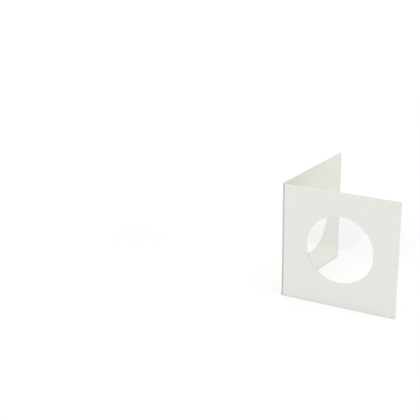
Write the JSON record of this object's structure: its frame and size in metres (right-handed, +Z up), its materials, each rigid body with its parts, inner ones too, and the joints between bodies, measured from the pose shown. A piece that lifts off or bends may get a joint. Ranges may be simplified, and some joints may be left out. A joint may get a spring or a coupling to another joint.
{
  "type": "coin holder",
  "caption": "Folding square card coin holder with a round clear film window in each leaf, standing part open on its lower edges.",
  "frame": {"origin": "centre of the standing holder's footprint, on the surface that it stands on", "axes": "+Z up along the fold; the front leaf lies along X and its outer face looks along -Y; the rear leaf stands 84 degrees round from it, 6 degrees off Y"},
  "size_m": [0.051, 0.0508, 0.05],
  "materials": {
    "card": "matte",
    "bond": "satin",
    "film": "gloss"
  },
  "bodies": {
    "front_leaf": {"front_card": "card", "front_bond": "bond", "front_film": "film"},
    "spine": {"spine_card": "card", "spine_bond": "bond", "spine_film": "film"},
    "rear_leaf": {"rear_card": "card", "rear_bond": "bond", "rear_film": "film"}
  },
  "joints": [
    {"name": "front_score", "type": "hinge", "parent": "front_leaf", "child": "spine", "pos_m": [-0.02449, -0.02544, 0.025], "axis": [0, 0, 1], "range_deg": [-42, 48]},
    {"name": "rear_score", "type": "hinge", "parent": "spine", "child": "rear_leaf", "pos_m": [-0.02552, -0.02429, 0.025], "axis": [0, 0, 1], "range_deg": [-42, 48]}
  ],
  "couplings": [
    {"joint": "rear_score", "follows": "front_score", "ratio": 1}
  ]
}
